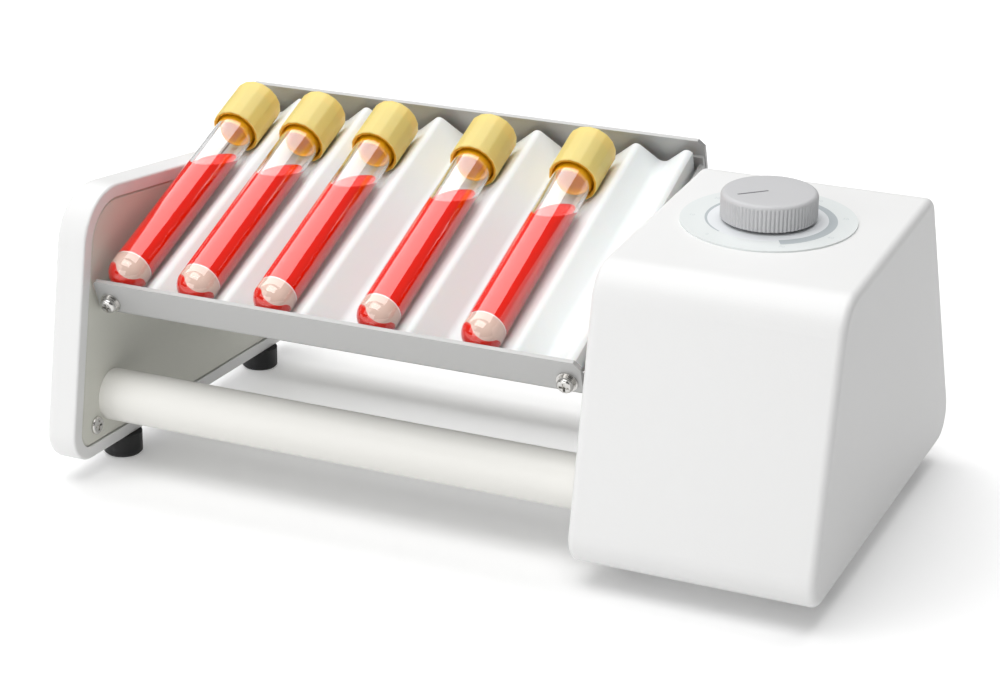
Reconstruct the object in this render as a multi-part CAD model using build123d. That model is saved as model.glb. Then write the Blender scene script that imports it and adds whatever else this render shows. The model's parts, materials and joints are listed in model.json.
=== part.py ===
from build123d import *
from math import asin, atan2, cos, degrees, radians, sin, tan
import os

# Tube rocker: a ridged tray hung between a narrow end plate and a drive housing.
# Millimetres. X runs along the tray, Y to the rear, Z up. The origin is the middle of the
# footprint, on the surface that the feet stand on.

# Overall
length = 255.0
foot_height = 7.5
face_gap = 0.3
fit_gap = 0.05

# Side profile, shared by the housing and the left plate
front_foot_y = -80.4
rear_foot_y = 85.6
front_top_y = -64.8
rear_top_y = 31.1
foot_corner = 9.5

# Tops at Y = 0: the housing's falls to the front, the left plate's to the rear, in degrees
housing_top = 101.6
housing_slope = 4.2
front_corner = 12.5
rear_corner = 7.0
plate_top = 90.1
plate_slope = -5.0
plate_front_corner = 19.0
plate_rear_corner = 12.5
edge_round = 2.5

# Housing
housing_width = 75.4
housing_wall = 2.5
base_thickness = 2.0
base_margin = 3.5
ledge_width = 6.0

# Left plate
plate_width = 10.9
plate_wall = 2.5
rim_width = 4.2
rim_ledge = 2.0
rim_round = 0.8
cover_thickness = 2.0
cover_recess = 0.2
cover_gap = 0.25
cover_edge = 0.6

# Tie tubes
tie_radius = 8.5
tie_wall = 1.5
tie_front_y = -55.3
tie_z = 25.2
tie_rod_radius = 3.0
tie_boss_radius = 10.0
tie_nut_flats = 10.0
tie_nut_thickness = 5.0
tie_rod_end = 1.5

# Tray and its pivot
tilt = 22.2
pivot_y = -1.8
pivot_z = 58.5
tray_rise = 20.0
tube_room = 10.0
tray_flange = 12.05
tray_sheet = 1.5
tray_left_gap = 1.0
tray_right_gap = 2.5
flange_left_corner = 0.8
flange_right_corner = 2.2

# Ridged mat: the first ridge from the tray's left end, the last from its right end, and the
# share of the way between them at which each tube's ridge stands, uneven as in the original
first_ridge_inset = 20.1
last_ridge_inset = 4.8
ridge_shares = (0.0, 0.1803, 0.3742, 0.6287, 0.8767)
ridge_half_width = 9.0
ridge_height = 7.6
ridge_round = 2.2
valley_round = 3.0
mat_base = 1.9
mat_rear_gap = 2.9
mat_right_gap = 3.0

# Tray brackets and tray screws
bracket_sheet = 1.5
bracket_inset = 0.2
bracket_top = 6.8
web_rise = 2.5
bracket_neck = 18.0
tab_width = 6.0
screw_rise = 4.6
screw_radius = 1.5
screw_tip = 0.5
tray_head_radius = 2.6
tray_head_height = 1.8
flat_washer_radius = 3.4
flat_washer_thickness = 0.5
lock_washer_radius = 2.8
lock_washer_thickness = 0.7
lock_washer_split = 0.4

# Shafts and bearings
shaft_radius = 4.0
shaft_flange_radius = 8.0
shaft_flange_thickness = 2.0
bearing_wall = 2.0
bearing_boss_wall = 3.0
bearing_flange = 0.6
bearing_length = 8.5

# Crank drive
arm_length = 22.0
arm_thickness = 5.0
arm_gap = 2.4
arm_hub_radius = 8.0
eye_radius = 5.5
link_length = 30.0
link_thickness = 4.0
link_gap = 1.0
pin_radius = 2.5
pin_head = 1.2
pin_head_radius = 3.5
pin_fit = 0.05
crank_gap = 3.2
pin_stop_gap = 0.4
crank_radius = 12.5
crank_thickness = 5.0
output_radius = 2.5
output_depth = 6.0
output_clearance = 1.0
set_screw_radius = 1.5
set_screw_sink = 0.5
link_half_width = 3.5

# Gearmotor
bracket_gap = 1.0
motor_bracket_sheet = 2.0
motor_bracket_half = 17.0
motor_bracket_foot = 16.0
gearbox_radius = 14.0
gearbox_length = 12.0
motor_radius = 12.5
motor_gap = 5.0
motor_screw_circle = 10.5
motor_screw_radius = 1.2
motor_screw_head = 0.8
motor_screw_reach = 3.0
motor_round = 1.5

# Electronics
board_length = 48.0
board_width = 34.0
board_thickness = 1.6
board_inset = 7.4
board_front = 10.0
standoff_height = 6.0
standoff_radius = 2.6
standoff_inset = 3.5
capacitors = ((14.0, 12.0, 4.0, 8.0), (14.0, 23.0, 3.0, 7.0))
board_blocks = (
    (22.0, 10.0, 8.0, 5.0, 1.6),
    (33.0, 8.0, 10.0, 4.0, 9.0),
    (24.0, 24.0, 16.0, 6.0, 6.0),
)
pot_radius = 8.0
pot_height = 8.0
pot_bush_radius = 3.5
pot_nut_flats = 10.0
pot_nut_thickness = 2.0
pot_bush_end = 0.5
jack_inset = 27.5
jack_z = 32.0
jack_radius = 5.5
jack_depth = 14.0
jack_flange_radius = 7.0
jack_flange_thickness = 1.5
jack_bore_radius = 3.2
jack_bore_depth = 9.0
jack_pin_radius = 1.0
jack_pin_sink = 1.0
jack_nut_radius = 7.5
jack_nut_thickness = 2.5

# Knob and dial
knob_inset = 40.6
knob_y = -10.7
dial_radius = 26.6
dial_thickness = 0.5
knob_radius = 14.6
knob_height = 8.1
knob_gap = 0.9
knob_flutes = 72
flute_radius = 0.42
flute_offset = 0.1
knob_rim = 1.7
knob_rim_round = 1.5
knob_roof = 1.5
knob_hollow_radius = 9.0
knob_hollow_height = 4.2
knob_pointer_angle = 229.0
pointer_width = 0.8
pointer_depth = 0.4
pointer_from = 0.4
pointer_to = 10.4
pot_shaft_radius = 3.0

# Feet and screws
foot_radius = 6.4
foot_bore_radius = 3.2
foot_bore_height = 3.5
foot_chamfer = 0.8
foot_screw_head = 1.8
left_foot_inset = 6.6
left_foot_front_y = -43.9
left_foot_rear_y = 49.1
housing_foot_inset = 12.0
housing_foot_y = 50.0
cover_screw_head = 3.0
cover_screw_rise = 1.0
cover_screw_z = 17.8
cover_screw_y = 65.6
cover_screw_top_z = 78.0
boss_radius = 3.5

# Capped tubes with their samples
tube_radius = 6.5
tube_wall = 1.1
tube_length = 95.5
cap_radius = 8.35
cap_wall = 1.2
cap_length = 18.3
cap_over = 4.4
stopper_depth = 16.0
sample_length = 59.0
corner_setback = 0.7

# Worked out
right_x = length / 2
left_x = -length / 2
housing_left = right_x - housing_width
plate_inner = left_x + plate_width
cover_face = plate_inner - cover_recess
cover_back = cover_face - cover_thickness
base_bottom = foot_height
base_top = base_bottom + base_thickness
tray_left = plate_inner + tray_left_gap
tray_right = housing_left - tray_right_gap
mat_right = tray_right - mat_right_gap
first_ridge = tray_left + first_ridge_inset
last_ridge = tray_right - last_ridge_inset
ridge_places = [first_ridge + share * (last_ridge - first_ridge) for share in ridge_shares]
tray_depth = tube_length + cap_over + tube_room + face_gap + 2 * tray_sheet
half_depth = tray_depth / 2
inner_half = half_depth - tray_sheet
floor_top = tray_rise + tray_sheet
mat_top = floor_top + mat_base
ridge_slope = atan2(ridge_height, ridge_half_width)
front_lean = (front_top_y - front_foot_y) / (housing_top - base_bottom)
rear_lean = (rear_foot_y - rear_top_y) / (housing_top - base_bottom)
bearing_radius = shaft_radius + bearing_wall
boss_outer = bearing_radius + bearing_boss_wall

nodes = {}


def save(name, *solids):
    """Keep one node: a single solid, or a group of separate ones."""
    nodes[name] = solids[0] if len(solids) == 1 else Compound(children=list(solids))


def rod_x(radius, x_from, x_to, y, z):
    """A round bar along X."""
    bar = Cylinder(radius, x_to - x_from, align=(Align.CENTER, Align.CENTER, Align.MIN))
    return Location((x_from, y, z), (0, 90, 0)) * bar


def ring_x(outer, inner, x_from, x_to, y, z):
    """A round bush along X."""
    return rod_x(outer, x_from, x_to, y, z) - rod_x(inner, x_from - 1, x_to + 1, y, z)


def rod_z(radius, z_from, z_to, x, y):
    """A round bar along Z."""
    bar = Cylinder(radius, z_to - z_from, align=(Align.CENTER, Align.CENTER, Align.MIN))
    return Location((x, y, z_from)) * bar


def block(x_from, x_to, y_from, y_to, z_from, z_to):
    """A box between two corners."""
    size = Box(x_to - x_from, y_to - y_from, z_to - z_from, align=(Align.MIN,) * 3)
    return Location((x_from, y_from, z_from)) * size


def hex_x(flats, x_from, x_to, y, z):
    """A hexagon bar along X."""
    face = Plane.YZ * RegularPolygon(flats / 2, 6, major_radius=False)
    return Location((x_from, y, z)) * extrude(face, x_to - x_from, dir=(1, 0, 0))


def profile(top, slope, front_radius, rear_radius, inset):
    """The side profile below a sloping top, drawn in by an inset."""
    rise = tan(radians(slope))
    front = (front_foot_y + front_lean * (top - base_bottom)) / (1 - front_lean * rise)
    rear = (rear_foot_y - rear_lean * (top - base_bottom)) / (1 + rear_lean * rise)
    corners = [
        ((front_foot_y, base_bottom), foot_corner),
        ((rear_foot_y, base_bottom), foot_corner),
        ((rear, top + rear * rise), rear_radius),
        ((front, top + front * rise), front_radius),
    ]
    face = make_face(Polyline(*[point for point, radius in corners], close=True))
    for point, radius in corners:
        near = face.vertices().sort_by_distance((point[0], point[1], 0))[0]
        face = fillet(near, radius)
    if inset:
        face = offset(face, -inset)
    return face


def housing_profile(inset):
    """The drive housing's side profile, drawn in by an inset."""
    return profile(housing_top, housing_slope, front_corner, rear_corner, inset)


def plate_profile(inset):
    """The left plate's side profile, drawn in by an inset."""
    return profile(plate_top, plate_slope, plate_front_corner, plate_rear_corner, inset)


def slab(face, x_from, x_to):
    """A profile face pushed out along X."""
    turned = Plane(origin=(x_from, 0, 0), x_dir=(0, 1, 0), z_dir=(1, 0, 0)) * face
    return extrude(turned, x_to - x_from, dir=(1, 0, 0))


def rounded_slab(face, x_from, x_to, left_round, right_round):
    """A profile slab with its outline edges rounded at both ends."""
    solid = slab(face, x_from, x_to)
    for x, radius in ((x_from, left_round), (x_to, right_round)):
        edges = solid.edges().filter_by_position(Axis.X, x - 0.01, x + 0.01)
        solid = fillet(edges, radius)
    return solid


# Crank drive places, seen from the side at rest
arm_x = housing_left + bearing_length + arm_gap
link_x = arm_x + arm_thickness + link_gap
crank_x = link_x + link_thickness + crank_gap
arm_pin_y = pivot_y - arm_length * cos(radians(tilt))
arm_pin_z = pivot_z - arm_length * sin(radians(tilt))
crank_pin_z = arm_pin_z - link_length
crank_throw = arm_length * sin(radians(tilt))
crank_y = arm_pin_y
crank_z = crank_pin_z + crank_throw
motor_bracket_x = crank_x + crank_thickness + bracket_gap
gearbox_x = motor_bracket_x + motor_bracket_sheet
motor_x = gearbox_x + gearbox_length
motor_end = right_x - housing_wall - motor_gap
tie_places = ((tie_front_y, tie_z), (2 * pivot_y - tie_front_y, tie_z))

# Where the screws and feet are
cover_screw_places = (
    (-cover_screw_y, cover_screw_z),
    (cover_screw_y, cover_screw_z),
    (pivot_y, cover_screw_top_z),
)
left_foot_x = left_x + left_foot_inset
housing_foot_xs = (housing_left + housing_foot_inset, right_x - housing_foot_inset)
left_feet = [(left_foot_x, y) for y in (left_foot_front_y, left_foot_rear_y)]
housing_feet = [(x, side * housing_foot_y) for x in housing_foot_xs for side in (-1, 1)]
base_front = front_foot_y + foot_corner + base_margin
base_rear = rear_foot_y - 2 * foot_corner + base_margin / 2
base_left = housing_left + base_margin
base_right = right_x - base_margin
base_screw_inset = ledge_width / 2
base_screws = [
    (x, y)
    for x in (base_left + base_screw_inset, base_right - base_screw_inset)
    for y in (base_front + base_screw_inset, base_rear - base_screw_inset)
]
jack_x = right_x - jack_inset
jack_y = rear_foot_y - rear_lean * (jack_z - base_bottom)
jack_tilt = degrees(atan2(1.0, rear_lean))
jack_place = Location((jack_x, jack_y, jack_z), (-jack_tilt, 0, 0))
knob_x = right_x - knob_inset
knob_z = housing_top + knob_y * tan(radians(housing_slope))
panel_place = Location((knob_x, knob_y, knob_z), (housing_slope, 0, 0))
knob_bottom = dial_thickness + knob_gap


def make_housing():
    """The drive housing's moulded shell, open below."""
    outer = housing_profile(0)
    inner = housing_profile(housing_wall)
    shell = rounded_slab(outer, housing_left, right_x, edge_round, edge_round)
    room = slab(inner, housing_left + housing_wall, right_x - housing_wall)
    shell -= room & block(housing_left, right_x, front_foot_y, rear_foot_y,
                          base_top + housing_wall, 2 * housing_top)
    shell -= block(base_left, base_right, base_front, base_rear, base_bottom - 1, base_top)
    shell -= block(base_left + ledge_width, base_right - ledge_width, base_front + ledge_width,
                   base_rear - ledge_width, base_bottom, base_top + 2 * housing_wall)
    bearing_end = housing_left + bearing_length
    shell += rod_x(boss_outer, housing_left + housing_wall, bearing_end, pivot_y, pivot_z)
    shell -= rod_x(bearing_radius, housing_left - 1, bearing_end + 1, pivot_y, pivot_z)
    for y, z in tie_places:
        shell -= rod_x(tie_rod_radius + fit_gap, housing_left - 1,
                       housing_left + housing_wall + 1, y, z)
    shell -= panel_place * Cylinder(pot_bush_radius, 4 * housing_wall)
    shell -= jack_place * Cylinder(jack_radius, 4 * housing_wall)
    for x, y in base_screws:
        shell -= rod_z(screw_radius, base_top - 1, base_top + housing_wall + 1, x, y)
    return shell


def make_base():
    """The housing's base plate with its screw and foot holes."""
    base = block(base_left + fit_gap, base_right - fit_gap, base_front + fit_gap,
                 base_rear - fit_gap, base_bottom, base_top)
    for x, y in base_screws:
        base -= rod_z(screw_radius, base_bottom - 1, base_top + 1, x, y)
    for x, y in housing_feet:
        base -= rod_z(screw_radius, base_bottom - 1, base_top + 1, x, y)
    return base


def make_left_plate():
    """The left plate's moulded shell, open towards the tray."""
    shell = rounded_slab(plate_profile(0), left_x, plate_inner, edge_round, rim_round)
    shell -= slab(plate_profile(rim_width), cover_back, plate_inner + 1)
    shell -= slab(plate_profile(rim_width + rim_ledge), left_x + plate_wall, cover_back)
    for y, z in cover_screw_places:
        shell += rod_x(boss_radius, left_x + plate_wall, cover_back, y, z)
        shell -= rod_x(screw_radius, left_x + 2 * plate_wall, cover_back + 1, y, z)
    for y, z in tie_places:
        shell += rod_x(tie_boss_radius, left_x + plate_wall, cover_back, y, z)
        shell -= rod_x(tie_rod_radius, left_x + plate_wall, cover_back + 1, y, z)
    shell += rod_x(boss_outer, left_x + plate_wall, cover_back, pivot_y, pivot_z)
    shell -= rod_x(bearing_radius, left_x + plate_wall, cover_back + 1, pivot_y, pivot_z)
    for x, y in left_feet:
        shell -= rod_z(screw_radius, base_bottom - 1, base_bottom + foot_bore_height, x, y)
    return shell


def make_left_cover():
    """The flat panel that closes the left plate."""
    cover = slab(plate_profile(rim_width + cover_gap), cover_back, cover_face)
    outline = cover.edges().filter_by_position(Axis.X, cover_face - 0.01, cover_face + 0.01)
    cover = chamfer(outline, cover_edge)
    for y, z in cover_screw_places:
        cover -= rod_x(screw_radius, cover_back - 1, cover_face + 1, y, z)
    for y, z in tie_places:
        cover -= rod_x(tie_radius + fit_gap, cover_back - 1, cover_face + 1, y, z)
    cover -= rod_x(bearing_radius, cover_back - 1, cover_face + 1, pivot_y, pivot_z)
    return cover


def make_foot(x, y):
    """A rubber foot with a countersunk bore from below."""
    foot = rod_z(foot_radius, 0, foot_height, x, y)
    foot = chamfer(foot.edges().group_by(Axis.Z)[0], foot_chamfer)
    foot -= rod_z(foot_bore_radius, -1, foot_bore_height, x, y)
    foot -= rod_z(screw_radius, 0, foot_height + 1, x, y)
    return foot


def make_foot_screw(x, y, reach):
    """The screw that holds one foot from below."""
    head = rod_z(foot_bore_radius - face_gap, foot_bore_height - foot_screw_head,
                 foot_bore_height, x, y)
    return head + rod_z(screw_radius, foot_bore_height, foot_height + reach, x, y)


def cross_recess(size, depth):
    """The cross cut into a screw head that lies on Z = 0."""
    bar = Box(size, size / 4, depth, align=(Align.CENTER, Align.CENTER, Align.MAX))
    return bar + Location((0, 0, 0), (0, 0, 90)) * bar


def pan_screw(head_radius, head_height, reach):
    """A pan head screw along Z: head above Z = 0, shank below."""
    head = Cylinder(head_radius, head_height, align=(Align.CENTER, Align.CENTER, Align.MIN))
    head = fillet(head.edges().group_by(Axis.Z)[-1], head_height * 0.6)
    head -= Location((0, 0, head_height)) * cross_recess(head_radius * 1.2, head_height * 0.5)
    shank = Cylinder(screw_radius, reach, align=(Align.CENTER, Align.CENTER, Align.MAX))
    return head + shank


# Fixed pieces
save("housing_shell", make_housing())
save("housing_base", make_base())
save("left_plate_shell", make_left_plate())
save("left_inner_cover", make_left_cover())
for name, place in zip(("front_tie_tube", "rear_tie_tube"), tie_places):
    save(name, ring_x(tie_radius, tie_radius - tie_wall, cover_back, housing_left, *place))
rod_end = housing_left + housing_wall + tie_nut_thickness + tie_rod_end
save("tie_rods", *[rod_x(tie_rod_radius, left_x + plate_wall, rod_end, *place)
                   for place in tie_places])
nut_start = housing_left + housing_wall
save("tie_nuts", *[hex_x(tie_nut_flats, nut_start, nut_start + tie_nut_thickness, *place)
                   - rod_x(tie_rod_radius, nut_start - 1, rod_end, *place)
                   for place in tie_places])
save("rubber_feet", *[make_foot(x, y) for x, y in left_feet + housing_feet])
save("foot_screws",
     *[make_foot_screw(x, y, foot_bore_height) for x, y in left_feet],
     *[make_foot_screw(x, y, base_thickness + face_gap) for x, y in housing_feet])
cover_screw = pan_screw(cover_screw_head, cover_screw_rise, cover_thickness + plate_wall)
save("cover_screws", *[Location((cover_face, y, z), (0, 90, 0)) * cover_screw
                       for y, z in cover_screw_places])
base_screw = pan_screw(tray_head_radius, tray_head_height, base_thickness + housing_wall)
save("base_screws", *[Location((x, y, base_bottom), (180, 0, 0)) * base_screw
                      for x, y in base_screws])

# Bearings
bearing_bore = shaft_radius + fit_gap
left_bearing = ring_x(bearing_radius, bearing_bore, left_x + plate_wall, cover_face,
                      pivot_y, pivot_z)
left_bearing += ring_x(boss_outer, bearing_bore, cover_face, cover_face + bearing_flange,
                       pivot_y, pivot_z)
save("left_bearing", left_bearing)
right_bearing = ring_x(bearing_radius, bearing_bore, housing_left,
                       housing_left + bearing_length, pivot_y, pivot_z)
right_bearing += ring_x(boss_outer, bearing_bore, housing_left - bearing_flange, housing_left,
                        pivot_y, pivot_z)
save("right_bearing", right_bearing)

# Gearmotor and its bracket
bracket = block(motor_bracket_x, gearbox_x, crank_y - motor_bracket_half,
                crank_y + motor_bracket_half, base_top, crank_z + motor_bracket_half)
bracket += block(gearbox_x, gearbox_x + motor_bracket_foot, crank_y - motor_bracket_half,
                 crank_y + motor_bracket_half, base_top, base_top + motor_bracket_sheet)
bracket -= rod_x(output_radius + output_clearance, motor_bracket_x - 1, gearbox_x + 1, crank_y, crank_z)
motor_screw_places = [(crank_y + side * motor_screw_circle, crank_z) for side in (-1, 1)]
for y, z in motor_screw_places:
    bracket -= rod_x(motor_screw_radius, motor_bracket_x - 1, gearbox_x + 1, y, z)
save("motor_bracket", bracket)
gearbox = rod_x(gearbox_radius, gearbox_x, motor_x, crank_y, crank_z)
gearbox -= rod_x(output_radius + fit_gap, gearbox_x - 1, gearbox_x + output_depth,
                 crank_y, crank_z)
for y, z in motor_screw_places:
    gearbox -= rod_x(motor_screw_radius, gearbox_x - 1, gearbox_x + motor_screw_reach, y, z)
save("gearbox", gearbox)
motor = rod_x(motor_radius, motor_x, motor_end, crank_y, crank_z)
motor = fillet(motor.edges().group_by(Axis.X)[-1], motor_round)
save("drive_motor", motor)
save("motor_screws", *[rod_x(motor_screw_radius, motor_bracket_x,
                             gearbox_x + motor_screw_reach, y, z)
                       + rod_x(2 * motor_screw_radius, motor_bracket_x - motor_screw_head,
                               motor_bracket_x, y, z)
                       for y, z in motor_screw_places])

# Electronics
board_z = base_top + standoff_height
board_left = housing_left + housing_wall + board_inset
board_right = board_left + board_length
board_rear = board_front + board_width
standoff_places = [(x, y)
                   for x in (board_left + standoff_inset, board_right - standoff_inset)
                   for y in (board_front + standoff_inset, board_rear - standoff_inset)]
save("control_board", block(board_left, board_right, board_front, board_rear,
                            board_z, board_z + board_thickness))
save("board_standoffs", *[rod_z(standoff_radius, base_top, board_z, x, y)
                          for x, y in standoff_places])
board_top = board_z + board_thickness
board_parts = [rod_z(radius, board_top, board_top + height, board_left + x, board_front + y)
               for x, y, radius, height in capacitors]
board_parts += [block(board_left + x, board_left + x + along, board_front + y,
                      board_front + y + across, board_top, board_top + height)
                for x, y, along, across, height in board_blocks]
save("board_parts", *board_parts)
pot_nut_top = dial_thickness + pot_nut_thickness
pot = rod_z(pot_radius, -housing_wall - pot_height, -housing_wall, 0, 0)
pot += rod_z(pot_bush_radius, -housing_wall, pot_nut_top + pot_bush_end, 0, 0)
pot -= rod_z(pot_shaft_radius + fit_gap, -housing_wall - pot_height / 2, knob_height, 0, 0)
save("speed_potentiometer", panel_place * pot)
pot_nut = extrude(RegularPolygon(pot_nut_flats / 2, 6, major_radius=False), pot_nut_thickness)
pot_nut -= Cylinder(pot_bush_radius, 3 * pot_nut_thickness)
save("potentiometer_nut", panel_place * Location((0, 0, dial_thickness)) * pot_nut)
save("dial_plate", panel_place * (rod_z(dial_radius, 0, dial_thickness, 0, 0)
                                  - Cylinder(pot_bush_radius, 2 * housing_wall)))
jack = Location((0, 0, 0), (180, 0, 0)) * Cylinder(
    jack_radius, jack_depth, align=(Align.CENTER, Align.CENTER, Align.MIN))
jack += Cylinder(jack_flange_radius, jack_flange_thickness,
                 align=(Align.CENTER, Align.CENTER, Align.MIN))
bore = Location((0, 0, jack_flange_thickness - jack_bore_depth)) * Cylinder(
    jack_bore_radius, jack_bore_depth, align=(Align.CENTER, Align.CENTER, Align.MIN))
pin = Location((0, 0, jack_flange_thickness - jack_bore_depth)) * Cylinder(
    jack_pin_radius, jack_bore_depth - jack_pin_sink, align=(Align.CENTER, Align.CENTER, Align.MIN))
save("power_inlet", jack_place * (jack - bore + pin))
jack_nut = Cylinder(jack_nut_radius, jack_nut_thickness) - Cylinder(jack_radius, 2 * jack_nut_thickness)
save("power_inlet_nut",
     jack_place * Location((0, 0, -housing_wall - jack_nut_thickness / 2)) * jack_nut)

# Tray pieces are drawn level about the pivot, then tilted to their rest place
tray_place = Location((0, pivot_y, pivot_z), (tilt, 0, 0))


def save_on_tray(name, *solids):
    """Keep a tray node, tilted about the pivot."""
    save(name, *[tray_place * solid for solid in solids])


def make_pan():
    """The folded tray: a floor with a front and a rear flange."""
    outer = block(tray_left, tray_right, -half_depth, half_depth, tray_rise,
                  tray_rise + tray_flange)
    lower = outer.edges().filter_by(Axis.X).group_by(Axis.Z)[0]
    outer = fillet(lower, tray_sheet)
    pan = outer - block(tray_left - 1, tray_right + 1, -inner_half, inner_half, floor_top,
                        tray_rise + tray_flange + 1)
    corners = pan.edges().filter_by(Axis.Y).group_by(Axis.Z)[-1]
    pan = chamfer(corners.group_by(Axis.X)[0], flange_left_corner)
    corners = pan.edges().filter_by(Axis.Y).group_by(Axis.Z)[-1]
    pan = chamfer(corners.group_by(Axis.X)[-1], flange_right_corner)
    for x_from, x_to in ((tray_left - 1, bracket_left + bracket_sheet + bracket_inset),
                         (bracket_right - bracket_sheet - bracket_inset, tray_right + 1)):
        pan -= block(x_from, x_to, -bracket_neck - bracket_inset,
                     bracket_neck + bracket_inset, tray_rise - 1, floor_top + 1)
    for x in tray_screw_xs:
        pan -= Location((x, 0, tray_rise + screw_rise), (90, 0, 0)) * Cylinder(
            screw_radius, 2 * tray_depth)
    return pan


def make_bracket(x_outer, inward):
    """An end bracket: a web down to the pivot, and a tab at each end for the tray screws."""
    x_inner = x_outer + inward * bracket_sheet
    x_from, x_to = sorted((x_outer, x_inner))
    web_half = inner_half - fit_gap
    bottom = floor_top + fit_gap
    web_top = floor_top + web_rise
    tab_top = tray_rise + bracket_top
    outline = Polyline(
        (-web_half, bottom), (-web_half, web_top), (web_half, web_top), (web_half, bottom),
        (bracket_neck, bottom), (bracket_neck, tray_rise - bracket_sheet),
        (shaft_flange_radius, 0), (-shaft_flange_radius, 0),
        (-bracket_neck, tray_rise - bracket_sheet), (-bracket_neck, bottom), close=True)
    web = slab(make_face(outline), x_from, x_to)
    web += rod_x(shaft_flange_radius, x_from, x_to, 0, 0)
    tab_end = x_outer + inward * (bracket_sheet + tab_width)
    tab_from, tab_to = sorted((x_outer, tab_end))
    for side in (-1, 1):
        y_from, y_to = sorted((side * web_half, side * (web_half - bracket_sheet)))
        web += block(tab_from, tab_to, y_from, y_to, bottom, tab_top)
    web -= rod_x(shaft_radius, x_from - 1, x_to + 1, 0, 0)
    tab_x = tab_end - inward * tab_width / 2
    web -= Location((tab_x, 0, tray_rise + screw_rise), (90, 0, 0)) * Cylinder(
        screw_radius, 2 * tray_depth)
    return web


def ridge_outline():
    """The mat's section across the tray: flat valleys between rounded ridges."""
    left = bracket_left + bracket_sheet + face_gap
    points = [(left, floor_top), (left, mat_top)]
    peaks = []
    feet = []
    narrow = 2 * valley_round * tan(ridge_slope / 2)
    for place in [*ridge_places, last_ridge]:
        start = place - ridge_half_width
        end = place + ridge_half_width
        last = points[-1][0]
        if start > last + narrow:
            points.append((start, mat_top))
            feet.append(points[-1])
        else:
            meet = (start + last) / 2
            points[-1] = (meet, mat_top + (last - meet) * ridge_height / ridge_half_width)
            feet[-1] = points[-1]
        points.append((place, mat_top + ridge_height))
        peaks.append(points[-1])
        if end < mat_right:
            points.append((end, mat_top))
            feet.append(points[-1])
        else:
            edge = mat_top + ridge_height * (end - mat_right) / ridge_half_width
            points.append((mat_right, edge))
    points.append((mat_right, floor_top))
    return points, peaks, feet


def make_mat():
    """The ridged mat, one section pushed along the tubes' direction."""
    points, peaks, feet = ridge_outline()
    face = make_face(Polyline(*points, close=True))
    for group, radius in ((peaks, ridge_round), (feet, valley_round)):
        for point in group:
            near = face.vertices().sort_by_distance((point[0], point[1], 0))[0]
            face = fillet(near, radius)
    rear_end = inner_half - mat_rear_gap
    front_end = face_gap - inner_half
    plane = Plane(origin=(0, rear_end, 0), x_dir=(1, 0, 0), z_dir=(0, -1, 0))
    mat = extrude(plane * face, rear_end - front_end, dir=(0, -1, 0))
    tab_reach = bracket_sheet + tab_width + face_gap
    tab_room = tray_rise + bracket_top + face_gap
    for x_from, x_to in ((bracket_left, bracket_left + tab_reach),
                         (bracket_right - tab_reach, bracket_right)):
        mat -= block(x_from, x_to, front_end - 1, mat_rear_gap - inner_half, floor_top - 1, tab_room)
    return mat


bracket_left = tray_left + bracket_inset
bracket_right = tray_right - bracket_inset
tray_screw_xs = (bracket_left + bracket_sheet + tab_width / 2,
                 bracket_right - bracket_sheet - tab_width / 2)
save_on_tray("tray_pan", make_pan())
save_on_tray("ridged_mat", make_mat())
save_on_tray("left_tray_bracket", make_bracket(bracket_left, 1))
save_on_tray("right_tray_bracket", make_bracket(bracket_right, -1))


def make_shaft(x_web, inward, x_end):
    """A stub shaft with a flange against the inner side of the bracket's web."""
    x_inner = x_web + inward * (bracket_sheet + shaft_flange_thickness)
    start, end = sorted((x_inner, x_end))
    shaft = rod_x(shaft_radius, start, end, 0, 0)
    flange_from, flange_to = sorted((x_web + inward * bracket_sheet, x_inner))
    return shaft + rod_x(shaft_flange_radius, flange_from, flange_to, 0, 0)


shaft_end = arm_x + arm_thickness
save_on_tray("left_shaft", make_shaft(bracket_left, 1, left_x + plate_wall + face_gap))
save_on_tray("right_shaft", make_shaft(bracket_right, -1, shaft_end))

washer_stack = flat_washer_thickness + lock_washer_thickness
screw_reach = washer_stack + tray_sheet + fit_gap + bracket_sheet + screw_tip
tray_screw = pan_screw(tray_head_radius, tray_head_height, screw_reach)
screws = []
flat_washers = []
lock_washers = []
for x in tray_screw_xs:
    for side in (-1, 1):
        place = Location((x, side * half_depth, tray_rise + screw_rise), (-90 * side, 0, 0))
        flat = Cylinder(flat_washer_radius, flat_washer_thickness) - Cylinder(screw_radius, 2)
        lock = Cylinder(lock_washer_radius, lock_washer_thickness) - Cylinder(screw_radius, 2)
        lock -= Location((lock_washer_radius - screw_radius, 0, 0), (0, 0, 20)) * Box(
            lock_washer_radius, lock_washer_split, 2 * lock_washer_thickness)
        flat_washers.append(place * Location((0, 0, flat_washer_thickness / 2)) * flat)
        lock_washers.append(place * Location(
            (0, 0, flat_washer_thickness + lock_washer_thickness / 2)) * lock)
        screws.append(place * Location((0, 0, washer_stack)) * tray_screw)
save_on_tray("tray_screws", *screws)
save_on_tray("flat_washers", *flat_washers)
save_on_tray("lock_washers", *lock_washers)

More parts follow.
